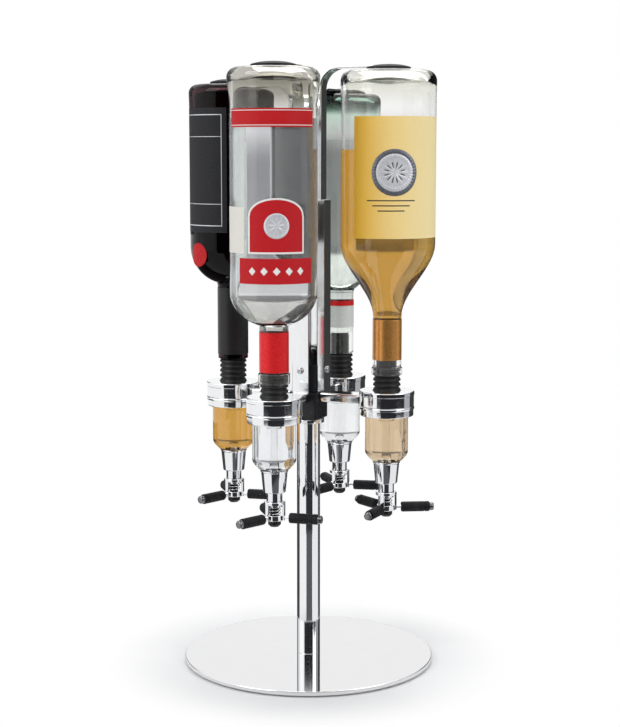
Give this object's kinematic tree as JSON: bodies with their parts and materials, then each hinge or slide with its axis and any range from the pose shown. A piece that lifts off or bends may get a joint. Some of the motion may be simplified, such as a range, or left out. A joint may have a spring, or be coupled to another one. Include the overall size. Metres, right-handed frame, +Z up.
{
  "type": "rotary drinks dispenser",
  "caption": "Rotary bar dispenser: upturned bottles on a turning hub over a round mirror base, each with a measure opened by pushing a glass up.",
  "frame": {"origin": "centre of the foot pad's underside, on the post's axis", "axes": "+Z up along the post, +X towards the amber bottle, -Y towards the clear bottle"},
  "size_m": [0.2393, 0.2378, 0.5573],
  "materials": {
    "mirror_steel": "mirror polished",
    "foot_foam": "matt",
    "zinc_steel": "zinc plated",
    "chrome_tube": "polished",
    "hub_black": "semi gloss",
    "chrome_strip": "polished",
    "pad_rubber": "satin",
    "chrome_cast": "polished",
    "chrome_spout": "polished",
    "clear_acrylic": "clear moulded plastic",
    "grip_rubber": "satin",
    "plunger_black": "satin",
    "stopper_rubber": "satin",
    "spring_steel": "bright wire",
    "clear_glass": "clear",
    "amber_glass": "clear over amber drink",
    "green_glass": "faint green",
    "dark_glass": "near black"
  },
  "bodies": {
    "base": {"foot_pad": "foot_foam", "base_disc": "mirror_steel", "base_bolt": "zinc_steel", "post_tube": "chrome_tube", "spindle": "zinc_steel"},
    "carousel": {"hub_block": "hub_black", "hub_cap": "hub_black", "hub_screws": "zinc_steel", "arm_channel_1": "chrome_strip", "ring_bracket_1": "chrome_cast", "measure_collar_1": "chrome_cast", "measure_chamber_1": "clear_acrylic", "spout_1": "chrome_spout", "stopper_1": "stopper_rubber", "bottle_1": "clear_glass", "return_spring_1": "spring_steel", "arm_channel_2": "chrome_strip", "ring_bracket_2": "chrome_cast", "measure_collar_2": "chrome_cast", "measure_chamber_2": "clear_acrylic", "spout_2": "chrome_spout", "stopper_2": "stopper_rubber", "bottle_2": "amber_glass", "return_spring_2": "spring_steel", "arm_channel_3": "chrome_strip", "ring_bracket_3": "chrome_cast", "measure_collar_3": "chrome_cast", "measure_chamber_3": "clear_acrylic", "spout_3": "chrome_spout", "stopper_3": "stopper_rubber", "bottle_3": "green_glass", "return_spring_3": "spring_steel", "arm_channel_4": "chrome_strip", "ring_bracket_4": "chrome_cast", "measure_collar_4": "chrome_cast", "measure_chamber_4": "clear_acrylic", "spout_4": "chrome_spout", "stopper_4": "stopper_rubber", "bottle_4": "dark_glass", "return_spring_4": "spring_steel"},
    "lever_1": {"push_lever_1": "chrome_spout", "lever_grips_1": "grip_rubber", "plunger_1": "plunger_black"},
    "arm_1": {"arm_strip_1": "chrome_strip", "arm_pad_1": "pad_rubber"},
    "lever_2": {"push_lever_2": "chrome_spout", "lever_grips_2": "grip_rubber", "plunger_2": "plunger_black"},
    "arm_2": {"arm_strip_2": "chrome_strip", "arm_pad_2": "pad_rubber"},
    "lever_3": {"push_lever_3": "chrome_spout", "lever_grips_3": "grip_rubber", "plunger_3": "plunger_black"},
    "arm_3": {"arm_strip_3": "chrome_strip", "arm_pad_3": "pad_rubber"},
    "lever_4": {"push_lever_4": "chrome_spout", "lever_grips_4": "grip_rubber", "plunger_4": "plunger_black"},
    "arm_4": {"arm_strip_4": "chrome_strip", "arm_pad_4": "pad_rubber"}
  },
  "joints": [
    {"name": "carousel_spin", "type": "hinge", "parent": "base", "child": "carousel", "pos_m": [0, 0, 0.2317], "axis": [0, 0, 1], "continuous": true},
    {"name": "lever_1_lift", "type": "slide", "parent": "carousel", "child": "lever_1", "axis": [0, 0, 1], "range_m": [0, 0.007], "stiffness_N_per_m": 300, "springref_m": -0.006, "deforming": ["return_spring_1"]},
    {"name": "arm_1_slide", "type": "slide", "parent": "carousel", "child": "arm_1", "axis": [0, 0, 1], "range_m": [0, 0.06]},
    {"name": "lever_2_lift", "type": "slide", "parent": "carousel", "child": "lever_2", "axis": [0, 0, 1], "range_m": [0, 0.007], "stiffness_N_per_m": 300, "springref_m": -0.006, "deforming": ["return_spring_2"]},
    {"name": "arm_2_slide", "type": "slide", "parent": "carousel", "child": "arm_2", "axis": [0, 0, 1], "range_m": [0, 0.06]},
    {"name": "lever_3_lift", "type": "slide", "parent": "carousel", "child": "lever_3", "axis": [0, 0, 1], "range_m": [0, 0.007], "stiffness_N_per_m": 300, "springref_m": -0.006, "deforming": ["return_spring_3"]},
    {"name": "arm_3_slide", "type": "slide", "parent": "carousel", "child": "arm_3", "axis": [0, 0, 1], "range_m": [0, 0.06]},
    {"name": "lever_4_lift", "type": "slide", "parent": "carousel", "child": "lever_4", "axis": [0, 0, 1], "range_m": [0, 0.007], "stiffness_N_per_m": 300, "springref_m": -0.006, "deforming": ["return_spring_4"]},
    {"name": "arm_4_slide", "type": "slide", "parent": "carousel", "child": "arm_4", "axis": [0, 0, 1], "range_m": [0, 0.06]}
  ]
}
